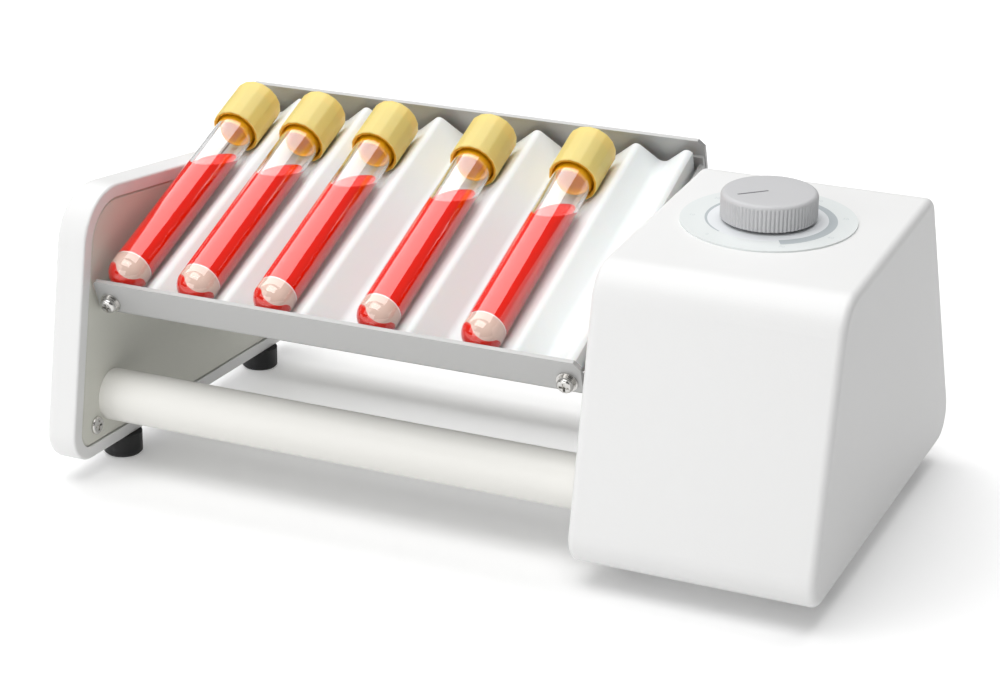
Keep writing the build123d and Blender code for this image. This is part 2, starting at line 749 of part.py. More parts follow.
# Rocker arm on the right shaft, level when the tray is level
arm = rod_x(arm_hub_radius, arm_x, shaft_end, 0, 0)
arm += rod_x(eye_radius, arm_x, shaft_end, -arm_length, 0)
arm += block(arm_x, shaft_end, -arm_length, 0, -eye_radius, eye_radius)
arm -= rod_x(shaft_radius, arm_x - 1, shaft_end + 1, 0, 0)
arm -= rod_x(pin_radius, arm_x - 1, shaft_end + 1, -arm_length, 0)
set_x = arm_x + arm_thickness / 2
arm -= rod_z(set_screw_radius, shaft_radius, arm_hub_radius + 1, set_x, 0)
save_on_tray("rocker_arm", arm)
save_on_tray("arm_set_screw", rod_z(set_screw_radius, shaft_radius, arm_hub_radius - set_screw_sink,
                                      set_x, 0))
link_end = link_x + link_thickness
arm_pin = rod_x(pin_radius, arm_x, link_end + face_gap, -arm_length, 0)
arm_pin += rod_x(pin_head_radius, link_end + face_gap, link_end + face_gap + pin_head,
                 -arm_length, 0)
save_on_tray("arm_pin", arm_pin)

# Link from the arm to the crank
link = rod_x(eye_radius, link_x, link_end, arm_pin_y, arm_pin_z)
link += rod_x(eye_radius, link_x, link_end, arm_pin_y, crank_pin_z)
link += block(link_x, link_end, arm_pin_y - link_half_width, arm_pin_y + link_half_width,
              crank_pin_z, arm_pin_z)
link -= rod_x(pin_radius + pin_fit, link_x - 1, link_end + 1, arm_pin_y, arm_pin_z)
link -= rod_x(pin_radius, link_x - 1, link_end + 1, arm_pin_y, crank_pin_z)
save("link_rod", link)
save("crank_pin", rod_x(pin_radius, link_x, crank_x - pin_stop_gap, arm_pin_y, crank_pin_z))

# Crank on the gearbox shaft
crank_end = crank_x + crank_thickness
crank = rod_x(crank_radius, crank_x, crank_end, crank_y, crank_z)
crank -= rod_x(output_radius, crank_x - 1, crank_end + 1, crank_y, crank_z)
crank -= rod_x(pin_radius + 2 * pin_fit, crank_x - 1, crank_end + 1, crank_y, crank_pin_z)
crank_set_x = crank_x + crank_thickness / 2
crank -= rod_z(set_screw_radius, crank_z + output_radius, crank_z + crank_radius + 1,
               crank_set_x, crank_y)
save("crank_disc", crank)
save("crank_set_screw", rod_z(set_screw_radius, crank_z + output_radius,
                              crank_z + crank_radius - set_screw_sink, crank_set_x, crank_y))
save("output_shaft", rod_x(output_radius, crank_x, gearbox_x + output_depth - face_gap,
                           crank_y, crank_z))


# Knob
def make_knob():
    """The fluted knob, hollow below, with a pointer line on top."""
    outline = Circle(knob_radius)
    step = 360.0 / knob_flutes
    flutes = [Location((0, 0, 0), (0, 0, step * turn)) * Location((knob_radius + flute_offset, 0, 0))
              * Circle(flute_radius) for turn in range(knob_flutes)]
    outline -= flutes
    side = extrude(outline, knob_height - knob_rim)
    rim = Location((0, 0, knob_height - knob_rim)) * Cylinder(
        knob_radius, knob_rim, align=(Align.CENTER, Align.CENTER, Align.MIN))
    rim = fillet(rim.edges().group_by(Axis.Z)[-1], knob_rim_round)
    knob = side + rim
    knob -= Cylinder(knob_hollow_radius, knob_hollow_height,
                     align=(Align.CENTER, Align.CENTER, Align.MIN))
    knob -= Cylinder(pot_shaft_radius, knob_height - knob_roof,
                     align=(Align.CENTER, Align.CENTER, Align.MIN))
    groove = Location((0, (pointer_from + pointer_to) / 2, knob_height)) * Box(
        pointer_width, pointer_to - pointer_from, 2 * pointer_depth)
    knob -= Location((0, 0, 0), (0, 0, -knob_pointer_angle)) * groove
    return panel_place * Location((0, 0, knob_bottom)) * knob


save("speed_knob", make_knob())
pot_shaft = rod_z(pot_shaft_radius, face_gap - housing_wall - pot_height / 2,
                  knob_bottom + knob_height - knob_roof, 0, 0)
save("potentiometer_shaft", panel_place * pot_shaft)

# Tubes lie in the valleys against the ridge on their right, cap rims on the mat
seat_distance = ridge_half_width + cap_radius * tan(ridge_slope / 2) + face_gap
tip_y = -inner_half + face_gap
bottom_centre_y = tip_y + tube_radius
rim_reach = tube_length + cap_over - cap_length - tube_radius


def seat_height(radius, reach):
    """Height of a round body's centre in a valley: on its floor, or between two slopes."""
    between_slopes = ridge_height - reach * tan(ridge_slope) + radius / cos(ridge_slope)
    return mat_top + max(radius, between_slopes) + face_gap


def round_ended(radius, reach):
    """A solid with a half ball at its lower end, centred on the origin, up along Z."""
    ball = Sphere(radius)
    bar = Cylinder(radius, reach, align=(Align.CENTER, Align.CENTER, Align.MIN))
    return (ball + bar) & Box(4 * radius, 4 * radius, 4 * reach)


def make_glass():
    """A glass tube, its round end at the origin, standing along Z."""
    reach = tube_length - tube_radius
    inner = round_ended(tube_radius - tube_wall, reach + 1)
    return round_ended(tube_radius, reach) - inner


def make_cap():
    """A push cap with a skirt round the glass and a stopper inside it."""
    top = tube_length - tube_radius + cap_over
    skirt = Location((0, 0, top - cap_length)) * Cylinder(
        cap_radius, cap_length, align=(Align.CENTER, Align.CENTER, Align.MIN))
    skirt = fillet(skirt.edges().group_by(Axis.Z)[-1], cap_wall)
    mouth = tube_length - tube_radius
    hollow = Location((0, 0, top - cap_length - 1)) * Cylinder(
        cap_radius - cap_wall, cap_length + 1 - cap_over,
        align=(Align.CENTER, Align.CENTER, Align.MIN))
    stopper = Location((0, 0, mouth - stopper_depth)) * Cylinder(
        tube_radius - tube_wall - fit_gap, stopper_depth,
        align=(Align.CENTER, Align.CENTER, Align.MIN))
    return skirt - hollow + stopper


def make_sample():
    """The filling, a little inside the glass."""
    return round_ended(tube_radius - tube_wall - fit_gap, sample_length)


glass = make_glass()
cap = make_cap()
sample = make_sample()
tab_end = bracket_left + bracket_sheet + tab_width
for index, ridge in enumerate(ridge_places, start=1):
    valley = ridge - ridge_places[index - 2] if index > 1 else 2 * seat_distance
    reach = min(seat_distance, valley / 2)
    tube_x = ridge - reach
    tip_z = seat_height(tube_radius, reach)
    lean = degrees(asin((seat_height(cap_radius, reach) - tip_z) / rim_reach))
    setback = corner_setback if tube_x - tube_radius < tab_end else 0
    tube_place = Location((tube_x, bottom_centre_y + setback, tip_z), (-90 + lean, 0, 0))
    save_on_tray(f"glass_tube_{index}", tube_place * glass)
    save_on_tray(f"tube_cap_{index}", tube_place * cap)
    save_on_tray(f"tube_sample_{index}", tube_place * sample)

os.makedirs("parts", exist_ok=True)
for name, solid in nodes.items():
    export_step(solid, f"parts/{name}.step")
print(len(nodes), "nodes written")
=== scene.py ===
import json
import math

import bmesh
import bpy
from mathutils import Matrix, Vector


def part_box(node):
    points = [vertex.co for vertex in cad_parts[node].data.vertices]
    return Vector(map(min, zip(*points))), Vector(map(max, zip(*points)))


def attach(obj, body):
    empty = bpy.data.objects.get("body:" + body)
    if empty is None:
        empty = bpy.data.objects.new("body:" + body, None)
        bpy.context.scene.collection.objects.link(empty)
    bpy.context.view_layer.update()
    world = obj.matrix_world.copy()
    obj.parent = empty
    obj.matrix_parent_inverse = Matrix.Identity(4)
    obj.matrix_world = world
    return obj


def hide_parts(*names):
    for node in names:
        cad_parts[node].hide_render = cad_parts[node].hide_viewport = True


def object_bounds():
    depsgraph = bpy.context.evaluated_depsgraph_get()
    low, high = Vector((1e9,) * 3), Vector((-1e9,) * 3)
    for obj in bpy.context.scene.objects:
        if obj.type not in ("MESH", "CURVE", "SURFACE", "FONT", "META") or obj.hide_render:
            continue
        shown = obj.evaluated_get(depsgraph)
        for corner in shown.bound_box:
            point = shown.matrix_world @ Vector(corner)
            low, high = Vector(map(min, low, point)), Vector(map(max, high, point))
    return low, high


# Tube rocker: the finish of every piece, in metres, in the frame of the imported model.
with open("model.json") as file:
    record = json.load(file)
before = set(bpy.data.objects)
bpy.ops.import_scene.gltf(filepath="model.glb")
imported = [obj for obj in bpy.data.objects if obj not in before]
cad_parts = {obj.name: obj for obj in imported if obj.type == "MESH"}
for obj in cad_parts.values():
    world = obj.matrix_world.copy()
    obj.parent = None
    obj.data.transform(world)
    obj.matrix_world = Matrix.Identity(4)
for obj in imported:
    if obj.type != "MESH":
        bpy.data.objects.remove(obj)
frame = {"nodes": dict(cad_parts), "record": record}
cad_low, cad_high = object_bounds()
nodes = frame["nodes"]
scene = bpy.context.scene
MM = 0.001

# Camera, fitted to the photograph's outline
CAMERA_PLACE = Vector((0.27879, -0.66034, 0.30037))
CAMERA_AZIMUTH = math.radians(22.829)
CAMERA_ELEVATION = math.radians(20.762)
CAMERA_ROLL = math.radians(1.5248)
CAMERA_LENS = 84.355
CAMERA_SENSOR = 36.0
CAMERA_SHIFT = (-0.01239, 0.04240)

# Tray and tubes
TUBES = 5
TRAY_TILT = math.radians(22.2)
TUBE_LENGTH = 95.5 * MM
TUBE_WALL = 1.1 * MM
CAP_OVER = 4.4 * MM
CAP_LENGTH = 18.3 * MM
CAP_WALL = 1.2 * MM
CAP_ROUND = 1.3 * MM
CAP_EDGE = 0.35 * MM
CAP_FLATS = 16
FLAT_DEPTH = 0.8
CAP_SEAT = 6.0 * MM
STOPPER_DEPTH = 16.0 * MM
STOPPER_LIP = 0.5 * MM
HOLLOW_DEPTH = 6.5 * MM
LIQUID_TOP = 59.1 * MM
LIQUID_SLOPE = 0.8
GEL_TOP = 3.2 * MM
# Height and width of the painted highlight ring at the gel's upper edge
GEL_HIGHLIGHT_HEIGHT = 0.3 * MM
GEL_HIGHLIGHT_WIDTH = 0.5 * MM
GEL_GAP = 0.1 * MM
LIQUID_EDGE = 0.3 * MM
WET = 0.01 * MM
SEAM = 0.01 * MM

# The pale window in the round end, as a direction in the tube's frame, and the red round it
WINDOW_WAY = Vector((0.48, -0.79, -0.38))
WINDOW_REACH = 37.0
WINDOW_GROW = 16.0
WINDOW_CURVE = 2.2
RED_REACH = 112.0
RED_SPREAD = 88.0
RED_TIP_FROM = 0.86
RED_TIP = 14.0
RED_THICK = 0.5 * MM

# Knob and dial
PANEL_TILT = math.radians(4.2)
DIAL_THICK = 0.5 * MM
KNOB_LOW = 1.4 * MM
KNOB_HEIGHT = 8.1 * MM
KNOB_RIBS = 72
RIB_DEPTH = 0.35 * MM
KNOB_ROUND = 1.5 * MM
KNOB_WALL = 1.4 * MM
KNOB_HOLLOW = 4.0 * MM
KNOB_FOOT = 0.3 * MM
KNOB_POINTER = math.radians(229.0)
POINTER_FROM = 0.4 * MM
POINTER_TO = 10.4 * MM
POINTER_WIDTH = 0.75 * MM
POINTER_SINK = 0.2 * MM
POINTER_LIFT = 0.02 * MM
DIAL_ARC_FROM = 214.0
DIAL_ARC_SWEEP = 299.0
ARC_OUTER = (18.8 * MM, 21.2 * MM)
ARC_INNER = (18.4 * MM, 17.8 * MM)
INNER_DIAL_HOLE = 4.2 * MM
INNER_DIAL_GAP = 0.2 * MM
NUMBER_COUNT = 8
NUMBER_STEP = 10
NUMBER_RADIUS = 23.0 * MM
NUMBER_SIZE = 1.9 * MM
PRINT_THICK = 0.03 * MM
PRINT_SINK = 0.01 * MM


def make_camera():
    """The camera at the photograph's angle."""
    data = bpy.data.cameras.new("camera")
    data.sensor_fit = "HORIZONTAL"
    data.sensor_width = CAMERA_SENSOR
    data.lens = CAMERA_LENS
    data.shift_x, data.shift_y = CAMERA_SHIFT
    data.clip_start = 0.01
    data.clip_end = 50.0
    camera = bpy.data.objects.new("camera", data)
    scene.collection.objects.link(camera)
    az, el, roll = CAMERA_AZIMUTH, CAMERA_ELEVATION, CAMERA_ROLL
    back = Vector((math.sin(az) * math.cos(el), -math.cos(az) * math.cos(el), math.sin(el)))
    level_right = Vector((math.cos(az), math.sin(az), 0.0))
    level_up = back.cross(level_right)
    right = level_right * math.cos(roll) + level_up * math.sin(roll)
    up = level_up * math.cos(roll) - level_right * math.sin(roll)
    turn = Matrix((right, up, back)).transposed().to_4x4()
    camera.matrix_world = Matrix.Translation(CAMERA_PLACE) @ turn
    scene.camera = camera


make_camera()

# Shader graphs


class Graph:
    """A short way to write shader nodes."""

    def __init__(self, tree):
        self.tree = tree

    def put(self, socket, value):
        """Link a socket to another, or set its plain value."""
        if isinstance(value, bpy.types.NodeSocket):
            self.tree.links.new(value, socket)
        else:
            socket.default_value = value

    def add(self, kind, inputs=None, **settings):
        """One node with its settings and its inputs by name or number."""
        node = self.tree.nodes.new(kind)
        for key, value in settings.items():
            setattr(node, key, value)
        for key, value in (inputs or {}).items():
            self.put(node.inputs[key], value)
        return node

    def math(self, operation, first, second=0.0, clamp=False):
        """A Math node's value."""
        node = self.add("ShaderNodeMath", {0: first, 1: second}, operation=operation)
        node.use_clamp = clamp
        return node.outputs[0]

    def vector(self, operation, first, second=(0.0, 0.0, 0.0)):
        """A Vector Math node."""
        return self.add("ShaderNodeVectorMath", {0: first, 1: second}, operation=operation)

    def mix(self, share, first, second):
        """Two colours mixed."""
        return self.add("ShaderNodeMix", {0: share, 6: first, 7: second}, data_type="RGBA").outputs[2]

    def swing(self, wave, size):
        """A zero to one wave turned into a change about zero of a given size."""
        return self.math("MULTIPLY", self.math("SUBTRACT", wave, 0.5), size)


def grey(level, blue=0.0):
    """A grey colour with an alpha of one, a little bluer if asked."""
    return (level, level, level + blue, 1.0)


FLOAT = "NodeSocketFloat"
COLOUR = "NodeSocketColor"
VECTOR = "NodeSocketVector"
FINISH_OUTPUTS = (("Colour", COLOUR), ("Roughness", FLOAT), ("Normal", VECTOR))


def new_group(name, inputs, outputs=FINISH_OUTPUTS):
    """A node group with named sockets: its tree, graph, inputs and outputs."""
    tree = bpy.data.node_groups.new(name, "ShaderNodeTree")
    for socket_name, kind, default in inputs:
        tree.interface.new_socket(socket_name, in_out="INPUT", socket_type=kind).default_value = default
    for socket_name, kind in outputs:
        tree.interface.new_socket(socket_name, in_out="OUTPUT", socket_type=kind)
    given = tree.nodes.new("NodeGroupInput").outputs
    out = tree.nodes.new("NodeGroupOutput").inputs
    return tree, Graph(tree), given, out


def make_moulding_group():
    """Moulded plastic or rubber: a fine pebbled surface and a faint cloud in its tone."""
    tree, graph, given, out = new_group("moulded_texture", (
        ("Tone", COLOUR, grey(0.8)), ("Cloud", FLOAT, 0.03), ("Gloss", FLOAT, 0.4),
        ("Gloss Change", FLOAT, 0.05), ("Grain Size", FLOAT, 0.0006), ("Grain Depth", FLOAT, 0.2)))
    place = graph.add("ShaderNodeTexCoord").outputs["Object"]
    scale = graph.math("DIVIDE", 1.0, given["Grain Size"])
    grain = graph.add("ShaderNodeTexNoise", {"Vector": place, "Scale": scale, "Detail": 2.0})
    cloud = graph.add("ShaderNodeTexNoise", {"Vector": place, "Scale": 22.0, "Detail": 3.0})
    light = graph.math("ADD", 1.0, graph.swing(cloud.outputs["Fac"], given["Cloud"]))
    tone = graph.add("ShaderNodeHueSaturation", {"Color": given["Tone"], "Value": light})
    graph.put(out["Colour"], tone.outputs["Color"])
    change = graph.swing(cloud.outputs["Fac"], given["Gloss Change"])
    graph.put(out["Roughness"], graph.math("ADD", given["Gloss"], change))
    bump = graph.add("ShaderNodeBump", {"Strength": given["Grain Depth"], "Distance": 0.0002,
                                        "Height": grain.outputs["Fac"]})
    graph.put(out["Normal"], bump.outputs["Normal"])
    return tree


def make_brushed_group():
    """Metal with fine brush lines along one direction."""
    tree, graph, given, out = new_group("brushed_lines", (
        ("Tone", COLOUR, grey(0.7)), ("Contrast", FLOAT, 0.08), ("Gloss", FLOAT, 0.35),
        ("Lines Along", VECTOR, (1.0, 0.0, 0.0)), ("Line Width", FLOAT, 0.0002),
        ("Stretch", FLOAT, 60.0), ("Depth", FLOAT, 0.1)))
    place = graph.add("ShaderNodeTexCoord").outputs["Object"]
    along = graph.vector("DOT_PRODUCT", place, given["Lines Along"]).outputs["Value"]
    squeeze = graph.math("SUBTRACT", graph.math("DIVIDE", 1.0, given["Stretch"]), 1.0)
    push = graph.add("ShaderNodeVectorMath", {0: given["Lines Along"],
                                              "Scale": graph.math("MULTIPLY", along, squeeze)},
                     operation="SCALE")
    squeezed = graph.vector("ADD", place, push.outputs[0]).outputs[0]
    scale = graph.math("DIVIDE", 1.0, given["Line Width"])
    lines = graph.add("ShaderNodeTexNoise", {"Vector": squeezed, "Scale": scale, "Detail": 3.0})
    shift = graph.swing(lines.outputs["Fac"], given["Contrast"])
    tone = graph.add("ShaderNodeHueSaturation", {"Color": given["Tone"],
                                                 "Value": graph.math("ADD", 1.0, shift)})
    graph.put(out["Colour"], tone.outputs["Color"])
    graph.put(out["Roughness"], graph.math("ADD", given["Gloss"], shift))
    bump = graph.add("ShaderNodeBump", {"Strength": given["Depth"], "Distance": 0.0001,
                                        "Height": lines.outputs["Fac"]})
    graph.put(out["Normal"], bump.outputs["Normal"])
    return tree


MOULDING = make_moulding_group()
BRUSHED = make_brushed_group()


def new_material(name):
    """A material with its graph and its Principled shader's inputs."""
    material = bpy.data.materials.new(name)
    material.use_nodes = True
    return material, Graph(material.node_tree), material.node_tree.nodes["Principled BSDF"].inputs


def textured(name, group, inputs, **sockets):
    """A material whose colour, roughness and normal come from a shared group."""
    material, graph, shader = new_material(name)
    texture = graph.add("ShaderNodeGroup", node_tree=group)
    for key, value in inputs.items():
        graph.put(texture.inputs[key], value)
    graph.put(shader["Base Color"], texture.outputs["Colour"])
    graph.put(shader["Roughness"], texture.outputs["Roughness"])
    graph.put(shader["Normal"], texture.outputs["Normal"])
    for key, value in sockets.items():
        shader[key.replace("_", " ")].default_value = value
    return material


def moulded(name, tone, gloss, grain=0.6, depth=0.15, cloud=0.02, **sockets):
    """Moulded plastic or rubber, with its grain size in millimetres."""
    return textured(name, MOULDING, {"Tone": (*tone, 1.0), "Cloud": cloud, "Gloss": gloss,
                                     "Grain Size": grain * MM, "Grain Depth": depth}, **sockets)


def brushed(name, tone, gloss, along=(1.0, 0.0, 0.0), width=0.2, stretch=60.0, contrast=0.08,
            **sockets):
    """Brushed or machined metal, with its line width in millimetres."""
    return textured(name, BRUSHED, {"Tone": (*tone, 1.0), "Contrast": contrast, "Gloss": gloss,
                                    "Lines Along": along, "Line Width": width * MM,
                                    "Stretch": stretch}, **{"Metallic": 1.0, **sockets})


GLASS_IOR = 1.55
GLASS_CLEAR = 0.92


def clear_glass(name):
    """Clear tube wall that lets the lamps through, with a faint change of tone along it."""
    material, graph, shader = new_material(name)
    place = graph.add("ShaderNodeTexCoord").outputs["Object"]
    haze = graph.add("ShaderNodeTexNoise", {"Vector": place, "Scale": 60.0, "Detail": 1.0})
    graph.put(shader["Base Color"], graph.mix(haze.outputs["Fac"], grey(0.97), grey(0.99)))
    graph.put(shader["Roughness"], graph.math("MULTIPLY", haze.outputs["Fac"], 0.04))
    shadow = graph.add("ShaderNodeLightPath").outputs["Is Shadow Ray"]
    graph.put(shader["Alpha"], graph.math("SUBTRACT", 1.0, graph.math("MULTIPLY", shadow, GLASS_CLEAR)))
    shader["Transmission Weight"].default_value = 1.0
    shader["IOR"].default_value = GLASS_IOR
    shader["Coat Weight"].default_value = 0.7
    shader["Coat IOR"].default_value = GLASS_IOR
    return material


finish = {
    "white_housing": moulded("white_housing", (0.84, 0.84, 0.835), 0.45),
    # Darker and yellower than the housing's white: painted shade on the inner cover panel, which faces
    # the tray and away from the lamps.
    "white_cover": moulded("white_cover", (0.72, 0.72, 0.65), 0.5),
    "tray_metal": brushed("tray_metal", (0.51, 0.51, 0.505), 0.6),
    "mat_rubber": moulded("mat_rubber", (0.84, 0.84, 0.83), 0.65, Subsurface_Weight=0.1),
    "tie_paint": moulded("tie_paint", (0.86, 0.85, 0.81), 0.4),
    "foot_rubber": moulded("foot_rubber", (0.012, 0.012, 0.013), 0.6),
    "screw_steel": brushed("screw_steel", (0.62, 0.61, 0.59), 0.18),
    "drive_steel": brushed("drive_steel", (0.5, 0.5, 0.5), 0.3),
    "bearing_brass": brushed("bearing_brass", (0.6, 0.42, 0.18), 0.35),
    "board_green": moulded("board_green", (0.02, 0.12, 0.05), 0.3),
    "black_plastic": moulded("black_plastic", (0.015, 0.015, 0.016), 0.4),
    "dial_print": moulded("dial_print", (0.76, 0.79, 0.785), 0.45, grain=0.3),
    "knob_grey": moulded("knob_grey", (0.57, 0.57, 0.58), 0.45),
    "tube_glass": clear_glass("tube_glass"),
    "cap_yellow": moulded("cap_yellow", (0.94, 0.68, 0.21), 0.45, Subsurface_Weight=0.2),
    "sample_red": moulded("sample_red", (0.68, 0.010, 0.001), 0.4, depth=0.0,
                          Specular_IOR_Level=0.0),
}
extra = {
    "stopper": moulded("stopper_rubber", (0.84, 0.40, 0.005), 0.5, depth=0.05,
                       Specular_IOR_Level=0.1),
    "gel": moulded("gel", (0.62, 0.46, 0.39), 0.5, depth=0.0, cloud=0.3, Specular_IOR_Level=0.1),
    "cap_rim": moulded("cap_rim", (0.80, 0.36, 0.01), 0.45, Subsurface_Weight=0.15),
    # Painted highlight: a near-white ring at the gel's upper edge
    "gel_highlight": moulded("gel_highlight", (0.92, 0.86, 0.84), 0.5, depth=0.0),
    "arc_print": moulded("arc_print", (0.46, 0.50, 0.52), 0.45, depth=0.0),
    "number_print": moulded("number_print", (0.62, 0.66, 0.67), 0.45, depth=0.0),
    "inner_dial": moulded("inner_dial", (0.79, 0.81, 0.83), 0.45, grain=0.3),
    "pointer": moulded("pointer_line", (0.16, 0.16, 0.17), 0.5, depth=0.05),
}
for row in frame["record"]["subparts"]:
    mesh = nodes[row["node"]].data
    mesh.materials.clear()
    mesh.materials.append(finish[row["material_slot"]])

# Mesh helpers


def keep_piece(name, mesh, material, body, slot, *replaced):
    """A mesh as a piece on a body, with its finish and the nodes that it stands for."""
    piece = bpy.data.objects.new(name, mesh)
    scene.collection.objects.link(piece)
    mesh.materials.append(material)
    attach(piece, body)
    if replaced:
        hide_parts(*replaced)
    return piece


def mesh_from(name, bm, place=None, sharp=35.0):
    """A finished mesh from a bmesh: placed, smooth, and sharp past an angle in degrees."""
    if place is not None:
        bm.transform(place)
    bmesh.ops.recalc_face_normals(bm, faces=bm.faces)
    mesh = bpy.data.meshes.new(name)
    bm.to_mesh(mesh)
    bm.free()
    mesh.shade_smooth()
    mesh.set_sharp_from_angle(angle=math.radians(sharp))
    return mesh


def stack_rings(bm, rings, closed=False):
    """Skin between rings of points. A ring of one point is a pole."""
    made = [[bm.verts.new(point) for point in ring] for ring in rings]
    pairs = list(zip(made, made[1:] + made[:1])) if closed else list(zip(made, made[1:]))
    for lower, upper in pairs:
        count = max(len(lower), len(upper))
        for i in range(count):
            j = (i + 1) % count
            corners = [lower[i % len(lower)], lower[j % len(lower)],
                       upper[j % len(upper)], upper[i % len(upper)]]
            unique = list(dict.fromkeys(corners))
            if len(unique) > 2:
                bm.faces.new(unique)
    return made


def turned(outline, steps=64, ripple=None, closed=False):
    """A bmesh turned about Z from (radius, height) points. Ripple changes a radius by its angle."""
    bm = bmesh.new()
    rings = []
    for radius, height in outline:
        if radius <= 0.0:
            rings.append([(0.0, 0.0, height)])
            continue
        ring = []
        for step in range(steps):
            angle = 2 * math.pi * step / steps
            reach = radius + (ripple(angle, height) if ripple else 0.0)
            ring.append((reach * math.cos(angle), reach * math.sin(angle), height))
        rings.append(ring)
    stack_rings(bm, rings, closed)
    return bm


def joined(bm, other):
    """A bmesh with another's faces added, and the other let go."""
    carrier = bpy.data.meshes.new("carrier")
    other.to_mesh(carrier)
    other.free()
    bm.from_mesh(carrier)
    bpy.data.meshes.remove(carrier)
    return bm


def arc_points(centre, radius, start, end, count):
    """(radius, height) points round a quarter or so, angles in degrees from the outward axis."""
    points = []
    for index in range(count + 1):
        angle = math.radians(start + (end - start) * index / count)
        points.append((centre[0] + radius * math.cos(angle), centre[1] + radius * math.sin(angle)))
    return points


# Tubes
tube_low, tube_high = (Vector(corner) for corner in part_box("glass_tube_1"))
cap_low, cap_high = (Vector(corner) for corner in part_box("tube_cap_1"))
TUBE_RADIUS = (tube_high.x - tube_low.x) / 2
CAP_RADIUS = (cap_high.x - cap_low.x) / 2
RIM_REACH = TUBE_LENGTH + CAP_OVER - CAP_LENGTH - TUBE_RADIUS
TUBE_LEAN = math.asin((CAP_RADIUS - TUBE_RADIUS) / RIM_REACH)
TUBE_RISE = TRAY_TILT + TUBE_LEAN
MOUTH = TUBE_LENGTH - TUBE_RADIUS
INSIDE = TUBE_RADIUS - TUBE_WALL
CAP_TOP = MOUTH + CAP_OVER


def tube_place(index):
    """A tube's own frame: its round end at the origin, its cap along Z, its lower side along Y."""
    low, high = (Vector(corner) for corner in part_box(f"glass_tube_{index}"))
    centre = Vector(((low.x + high.x) / 2, low.y + TUBE_RADIUS, low.z + TUBE_RADIUS))
    return Matrix.Translation(centre) @ Matrix.Rotation(TUBE_RISE - math.pi / 2, 4, "X")


def glass_outline():
    """Outer wall up from the tip, over the mouth, and back down the inner wall."""
    lip = TUBE_WALL / 2
    outline = [(0.0, -TUBE_RADIUS)] + arc_points((0, 0), TUBE_RADIUS, -84, 0, 14)
    outline += [(TUBE_RADIUS, MOUTH * share) for share in (0.01, 0.33, 0.66, 0.98)]
    outline += arc_points((TUBE_RADIUS - lip, MOUTH - lip), lip, 0, 180, 6)
    outline += [(INSIDE, MOUTH * share) for share in (0.66, 0.33)]
    return outline + arc_points((0, 0), INSIDE, 0, -84, 14) + [(0.0, -INSIDE)]


def cap_facets(angle, height):
    """Shallow flats round the cap's skirt, the same at every height."""
    step = 2 * math.pi / CAP_FLATS
    off = (angle % step) - step / 2
    return CAP_RADIUS * FLAT_DEPTH * (math.cos(step / 2) / math.cos(off) - 1.0)


def cap_outline():
    """Skirt from its lower inner edge, up and over the top, and down inside."""
    low = CAP_TOP - CAP_LENGTH
    inner = CAP_RADIUS - CAP_WALL
    rise = low + CAP_EDGE
    outline = [(inner, rise)] + arc_points((inner + CAP_EDGE, rise), CAP_EDGE, 180, 270, 3)
    outline += arc_points((CAP_RADIUS - CAP_EDGE, rise), CAP_EDGE, 270, 360, 3)
    outline += [(CAP_RADIUS, low + CAP_LENGTH * share) for share in (0.3, 0.6)]
    outline += arc_points((CAP_RADIUS - CAP_ROUND, CAP_TOP - CAP_ROUND), CAP_ROUND, 0, 90, 6)
    outline += [(CAP_RADIUS * 0.5, CAP_TOP), (0.0, CAP_TOP)]
    return outline


def cap_inside():
    """The skirt's hollow: its inner wall and its flat top."""
    low = CAP_TOP - CAP_LENGTH
    inner = CAP_RADIUS - CAP_WALL
    return [(0.0, MOUTH), (inner, MOUTH), (inner, MOUTH - CAP_SEAT), (inner, low + CAP_EDGE)]


def stopper_outline():
    """The plug inside the glass, with a deep hollow in its lower end."""
    radius = INSIDE + WET
    low = MOUTH - STOPPER_DEPTH
    hollow = radius - 2 * STOPPER_LIP
    outline = [(radius, MOUTH), (radius, low + STOPPER_LIP)]
    outline += arc_points((radius - STOPPER_LIP, low + STOPPER_LIP), STOPPER_LIP, 0, -180, 8)
    outline += [(hollow, low + HOLLOW_DEPTH * share) for share in (0.3, 0.6)]
    outline += [(hollow * 0.8, low + HOLLOW_DEPTH * 0.85), (hollow * 0.4, low + HOLLOW_DEPTH)]
    return outline + [(0.0, low + HOLLOW_DEPTH)]


def make_liquid():
    """The red column: flat on the gel, nearly level at its top when the tray is at rest."""
    radius = INSIDE + WET
    spare = 1.2
    outline = [(0.0, GEL_TOP), (radius - LIQUID_EDGE, GEL_TOP), (radius, GEL_TOP + LIQUID_EDGE)]
    outline += [(radius, LIQUID_TOP * share) for share in (0.3, 0.6, spare)]
    bm = turned(outline + [(0.0, LIQUID_TOP * spare)], 72)
    level = Vector((0.0, -LIQUID_SLOPE / math.tan(TUBE_RISE), 1.0)).normalized()
    cut = bmesh.ops.bisect_plane(bm, geom=bm.verts[:] + bm.edges[:] + bm.faces[:],
                                 plane_co=(0, 0, LIQUID_TOP), plane_no=level, clear_outer=True)
    rim = [item for item in cut["geom_cut"] if isinstance(item, bmesh.types.BMEdge)]
    bmesh.ops.contextual_create(bm, geom=rim)
    return bm


def make_gel():
    """The pale plug that fills the round end."""
    radius = INSIDE + WET
    outline = [(0.0, -radius)] + arc_points((0, 0), radius, -84, 0, 12)
    top = GEL_TOP - GEL_GAP
    return turned(outline + [(radius, top), (0.0, top)], 64)


def make_gel_highlight():
    """A painted highlight: the bright ring round the gel's upper edge."""
    outer = INSIDE + 2 * WET
    inner = outer - GEL_HIGHLIGHT_WIDTH
    low, high = GEL_TOP - GEL_HIGHLIGHT_HEIGHT, GEL_TOP
    return turned([(inner, low), (outer, low), (outer, high), (inner, high)], 72, closed=True)


def wall_point(way, radius):
    """A point of the round-ended inside, in a direction from the ball's centre."""
    if way.z > 0:
        side = Vector((way.x, way.y, 0.0)).normalized() * radius
        return side + Vector((0.0, 0.0, way.z * radius))
    return way * radius


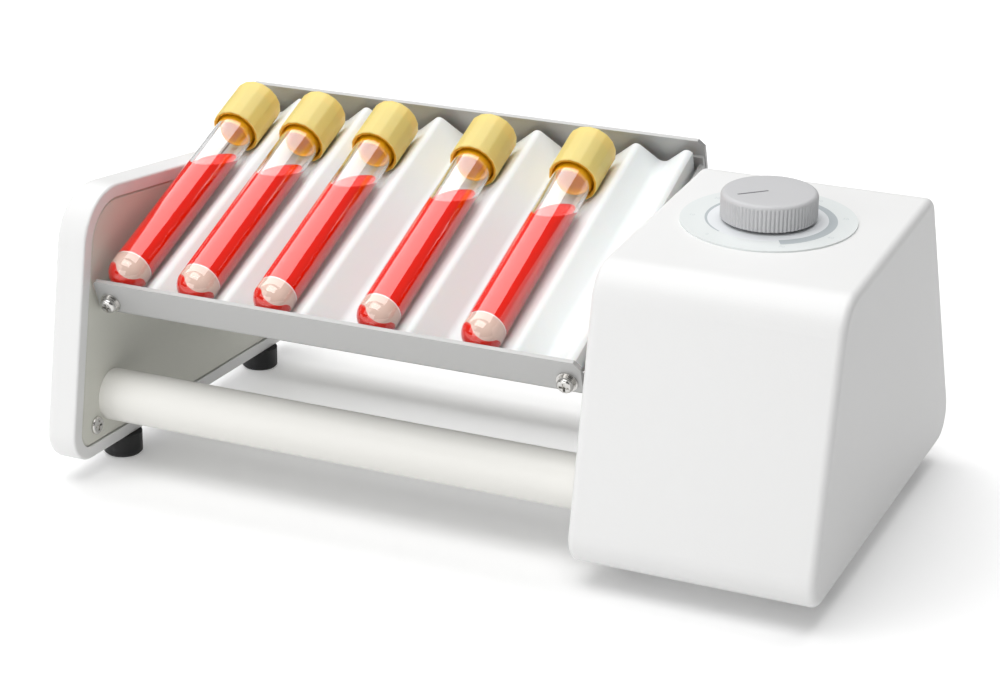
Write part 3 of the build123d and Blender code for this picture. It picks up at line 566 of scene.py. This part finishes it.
def make_trapped():
    """Red left under the gel: it fills the round end outside the pale window."""
    window = WINDOW_WAY.normalized()
    across = Vector((0.0, 0.0, -1.0)).cross(window).normalized()
    away = window.cross(across).normalized()
    outer = INSIDE + 2 * WET
    count = 48
    rows = 10
    bm = bmesh.new()
    grids = []
    for radius in (outer, outer - RED_THICK):
        grid = []
        for step in range(count + 1):
            share = 2.0 * step / count - 1.0
            turn = math.radians(RED_SPREAD * share)
            side = away * math.cos(turn) + across * math.sin(turn)
            near = WINDOW_REACH + WINDOW_GROW * abs(share) ** WINDOW_CURVE
            near += RED_TIP * (max(0.0, abs(share) - RED_TIP_FROM) / (1.0 - RED_TIP_FROM)) ** 2
            row = []
            for level in range(rows + 1):
                lift = math.radians(near + (RED_REACH - near) * level / rows)
                way = window * math.cos(lift) + side * math.sin(lift)
                row.append(bm.verts.new(wall_point(way, radius)))
            grid.append(row)
        grids.append(grid)
    for grid in grids:
        for a, b in zip(grid, grid[1:]):
            for level in range(rows):
                bm.faces.new((a[level], a[level + 1], b[level + 1], b[level]))
    loops = []
    for grid in grids:
        back = [row[rows] for row in reversed(grid[:-1])]
        loops.append([row[0] for row in grid] + grid[-1][1:] + back + grid[0][rows - 1:0:-1])
    top, bottom = loops
    for i in range(len(top)):
        j = (i + 1) % len(top)
        bm.faces.new((top[i], top[j], bottom[j], bottom[i]))
    return bm


def dress_cap(index, place, body):
    """The cap's skirt and top, with a deeper colour on its lower rim and inside."""
    cap = joined(turned(cap_outline(), 96, cap_facets), turned(cap_inside(), 96))
    bmesh.ops.remove_doubles(cap, verts=cap.verts, dist=SEAM)
    for face in cap.faces:
        middle = face.calc_center_median()
        if middle.xy.length < CAP_RADIUS - CAP_WALL / 3 and middle.z < CAP_TOP - CAP_OVER / 2:
            face.material_index = 1
    name = f"tube_cap_skirt_{index}"
    skirt = keep_piece(name, mesh_from(name, cap, place, 40), finish["cap_yellow"], body,
                       "cap_yellow", f"tube_cap_{index}")
    skirt.data.materials.append(extra["cap_rim"])


def dress_tube(index):
    """Glass, cap, stopper, gel and red of one tube."""
    place = tube_place(index)
    body = f"tube_{index}"
    glass = mesh_from(f"tube_glass_wall_{index}", turned(glass_outline(), 96), place)
    keep_piece(f"tube_glass_wall_{index}", glass, finish["tube_glass"], body, "tube_glass",
               f"glass_tube_{index}")
    dress_cap(index, place, body)
    stopper = mesh_from(f"tube_stopper_{index}", turned(stopper_outline(), 64), place)
    keep_piece(f"tube_stopper_{index}", stopper, extra["stopper"], body, "cap_yellow")
    liquid = mesh_from(f"tube_liquid_{index}", make_liquid(), place)
    keep_piece(f"tube_liquid_{index}", liquid, finish["sample_red"], body, "sample_red",
               f"tube_sample_{index}")
    gel = mesh_from(f"tube_gel_{index}", make_gel(), place)
    keep_piece(f"tube_gel_{index}", gel, extra["gel"], body, "sample_red")
    # The ring at the gel's upper edge is a painted highlight
    line = mesh_from(f"tube_gel_highlight_{index}", make_gel_highlight(), place)
    keep_piece(f"tube_gel_highlight_{index}", line, extra["gel_highlight"], body, "sample_red")
    trapped = mesh_from(f"tube_trapped_red_{index}", make_trapped(), place)
    keep_piece(f"tube_trapped_red_{index}", trapped, finish["sample_red"], body, "sample_red")


for number in range(1, TUBES + 1):
    dress_tube(number)

# Knob and dial, drawn flat and then laid on the sloping top
knob_low, knob_high = (Vector(corner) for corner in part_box("speed_knob"))
dial_low, dial_high = (Vector(corner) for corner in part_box("dial_plate"))
KNOB_RADIUS = (knob_high.x - knob_low.x) / 2
PANEL = (Matrix.Translation((dial_low + dial_high) / 2) @ Matrix.Rotation(PANEL_TILT, 4, "X")
         @ Matrix.Translation((0.0, 0.0, -DIAL_THICK / 2)))


def knob_ripple(angle, height):
    """Round ribs down the side, which fade into the round top edge."""
    fade = min(1.0, max(0.0, (KNOB_HEIGHT - 0.6 * KNOB_ROUND - height) / (0.5 * KNOB_ROUND)))
    wave = abs(math.sin(KNOB_RIBS * angle / 2))
    return -RIB_DEPTH * fade * (1.0 - wave)


def make_knob():
    """The ribbed knob with a hollow below."""
    top = KNOB_HEIGHT
    hollow = KNOB_RADIUS - KNOB_WALL
    steps = KNOB_RIBS * 8
    outline = [(hollow, KNOB_HOLLOW), (hollow, 0.0), (KNOB_RADIUS - KNOB_FOOT, 0.0),
               (KNOB_RADIUS, KNOB_FOOT)]
    outline += [(KNOB_RADIUS, height * MM) for height in (2.0, 4.0)]
    outline += [(KNOB_RADIUS, top - KNOB_ROUND - 0.1 * MM)]
    outline += arc_points((KNOB_RADIUS - KNOB_ROUND, top - KNOB_ROUND), KNOB_ROUND, 0, 90, 8)
    outline += [(KNOB_RADIUS * 0.6, top), (0.0, top)]
    ceiling = turned([(0.0, KNOB_HOLLOW), (hollow, KNOB_HOLLOW)], steps)
    bm = joined(turned(outline, steps, knob_ripple), ceiling)
    return mesh_from("knob_body", bm, PANEL @ Matrix.Translation((0.0, 0.0, KNOB_LOW)))


def make_pointer():
    """The pointer line's dark floor, a thin round-ended bar flush with the knob's top."""
    bm = bmesh.new()
    half = POINTER_WIDTH / 2
    outline = []
    for centre, start in ((POINTER_TO - half, 0), (POINTER_FROM + half, 180)):
        for step in range(9):
            angle = math.radians(start + 180 * step / 8)
            outline.append((half * math.cos(angle), centre + half * math.sin(angle)))
    rings = []
    for height in (-POINTER_SINK, POINTER_LIFT):
        rings.append([(x, y, height) for x, y in outline])
    made = stack_rings(bm, rings)
    for ring in made:
        bm.faces.new(ring)
    place = PANEL @ Matrix.Translation((0.0, 0.0, KNOB_LOW + KNOB_HEIGHT))
    return mesh_from("knob_pointer", bm, place @ Matrix.Rotation(-KNOB_POINTER, 4, "Z"))


def dial_point(angle, radius, height):
    """A point on the dial, its angle in degrees clockwise from the rear."""
    turn = math.radians(angle)
    return (radius * math.sin(turn), radius * math.cos(turn), height)


def make_dial_band(name, start, sweep, inner_of, outer_of, thick, count=120):
    """A printed band on the dial, between two radii that may change along it."""
    low = DIAL_THICK - PRINT_SINK
    high = DIAL_THICK + thick
    whole = sweep >= 360
    bm = bmesh.new()
    rings = []
    for step in range(count if whole else count + 1):
        share = step / count
        inner, outer = inner_of(share), outer_of(share)
        corners = ((inner, low), (outer, low), (outer, high), (inner, high))
        rings.append([dial_point(start + sweep * share, radius, height) for radius, height in corners])
    made = stack_rings(bm, rings, closed=whole)
    if not whole:
        bm.faces.new(made[0])
        bm.faces.new(made[-1])
    return mesh_from(name, bm, PANEL, sharp=50)


def between(ends, share):
    """A value part of the way from the first to the last."""
    return ends[0] + (ends[1] - ends[0]) * share


keep_piece("knob_body", make_knob(), finish["knob_grey"], "knob", "knob_grey", "speed_knob")
keep_piece("knob_pointer", make_pointer(), extra["pointer"], "knob", "knob_grey")
inner_dial = make_dial_band("dial_inner_print", 0, 360, lambda share: INNER_DIAL_HOLE,
                            lambda share: ARC_OUTER[0] - INNER_DIAL_GAP, PRINT_THICK / 2)
keep_piece("dial_inner_print", inner_dial, extra["inner_dial"], "base", "dial_print")
arc = make_dial_band("dial_arc_print", DIAL_ARC_FROM, DIAL_ARC_SWEEP,
                     lambda share: between(ARC_INNER, share), lambda share: between(ARC_OUTER, share),
                     PRINT_THICK)
keep_piece("dial_arc_print", arc, extra["arc_print"], "base", "dial_print")


def make_dial_numbers():
    """Plain numbers round the dial, as flat printed shapes."""
    for index in range(NUMBER_COUNT):
        angle = DIAL_ARC_FROM + DIAL_ARC_SWEEP * index / (NUMBER_COUNT - 1)
        curve = bpy.data.curves.new(f"dial_number_{index}", "FONT")
        curve.body = str(index * NUMBER_STEP)
        curve.size = NUMBER_SIZE
        curve.align_x = "CENTER"
        curve.align_y = "CENTER"
        curve.extrude = PRINT_THICK / 2
        text = bpy.data.objects.new(f"dial_number_{index}", curve)
        scene.collection.objects.link(text)
        bpy.context.view_layer.update()
        mesh = bpy.data.meshes.new_from_object(text)
        bpy.data.objects.remove(text)
        mesh.transform(PANEL @ Matrix.Translation(dial_point(angle, NUMBER_RADIUS, DIAL_THICK)))
        mesh.materials.clear()
        keep_piece(f"dial_number_{index}", mesh, extra["number_print"], "base", "dial_print")


make_dial_numbers()

# Floor, surround and lamps
FLOOR_REACH = 8.0
FLOOR_GLOW = 0.2
WORLD_LIGHT = 0.17
SOFTBOX_HEIGHT = 1.0
SOFTBOX_LEFT, SOFTBOX_RIGHT = -2.1, 0.66
SOFTBOX_NEAR, SOFTBOX_FAR = 0.55, 1.85
SOFTBOX_LEVEL = 2.5
OTHER_LAMPS = (
    ("front_softbox", (-0.9, -1.0, 0.75), (0.9, 0.9), 1.3),
    ("low_softbox", (-0.3, -1.4, 0.35), (1.0, 0.6), 2.3),
    ("top_softbox", (-0.1, -0.5, 1.3), (1.2, 0.8), 3.1),
)


def seen_directly(graph):
    """One for camera, glossy and transmission rays."""
    path = graph.add("ShaderNodeLightPath").outputs
    seen = graph.math("ADD", path["Is Camera Ray"], path["Is Glossy Ray"], True)
    return graph.math("ADD", seen, path["Is Transmission Ray"], True)


def make_floor():
    """A pale floor that keeps the shadow, white to the camera and in reflections."""
    bm = bmesh.new()
    corners = [bm.verts.new((x * FLOOR_REACH, y * FLOOR_REACH, 0.0))
               for x, y in ((-1, -1), (1, -1), (1, 1), (-1, 1))]
    bm.faces.new(corners)
    mesh = mesh_from("floor", bm)
    floor = bpy.data.objects.new("floor", mesh)
    scene.collection.objects.link(floor)
    material, graph, shader = new_material("floor_paper")
    noise = graph.add("ShaderNodeTexNoise", {"Scale": 40.0, "Detail": 4.0})
    graph.put(shader["Base Color"], graph.mix(noise.outputs["Fac"], grey(0.92), grey(0.94)))
    shader["Roughness"].default_value = 0.9
    shader["Specular IOR Level"].default_value = 0.1
    graph.put(shader["Emission Strength"], graph.math("MULTIPLY", seen_directly(graph), FLOOR_GLOW))
    shader["Emission Color"].default_value = grey(1.0)
    mesh.materials.append(material)


def make_world():
    """An even pale surround, white to the camera and through glass."""
    world = bpy.data.worlds.new("surround")
    scene.world = world
    world.use_nodes = True
    graph = Graph(world.node_tree)
    background = world.node_tree.nodes["Background"]
    path = graph.add("ShaderNodeLightPath").outputs
    seen = graph.math("ADD", path["Is Camera Ray"], path["Is Transmission Ray"], True)
    strength = graph.math("ADD", WORLD_LIGHT, graph.math("MULTIPLY", seen, 1.0 - WORLD_LIGHT))
    graph.put(background.inputs["Strength"], strength)
    background.inputs["Color"].default_value = grey(1.0)


def make_lamp(name, place, turn, size, level):
    """A rectangular softbox. Its level is its brightness, where one is white."""
    data = bpy.data.lights.new(name, "AREA")
    data.shape = "RECTANGLE"
    data.size, data.size_y = size
    data.energy = level * math.pi * size[0] * size[1]
    lamp = bpy.data.objects.new(name, data)
    scene.collection.objects.link(lamp)
    lamp.location = place
    lamp.rotation_euler = turn


def make_softboxes():
    """One overhead and parallel to the tubes, for their bright bands, and others aimed at the part."""
    middle = (Vector(cad_low) + Vector(cad_high)) / 2
    over = Matrix.Translation(middle) @ Matrix.Rotation(TUBE_RISE, 4, "X")
    centre = ((SOFTBOX_LEFT + SOFTBOX_RIGHT) / 2, (SOFTBOX_NEAR + SOFTBOX_FAR) / 2, SOFTBOX_HEIGHT)
    size = (SOFTBOX_RIGHT - SOFTBOX_LEFT, SOFTBOX_FAR - SOFTBOX_NEAR)
    make_lamp("over_softbox", over @ Vector(centre), (TUBE_RISE, 0.0, 0.0), size, SOFTBOX_LEVEL)
    for name, place, size, level in OTHER_LAMPS:
        aim = (middle - Vector(place)).to_track_quat("-Z", "Y").to_euler()
        make_lamp(name, place, aim, size, level)


make_floor()
make_world()
make_softboxes()
scene.view_settings.view_transform = "Standard"
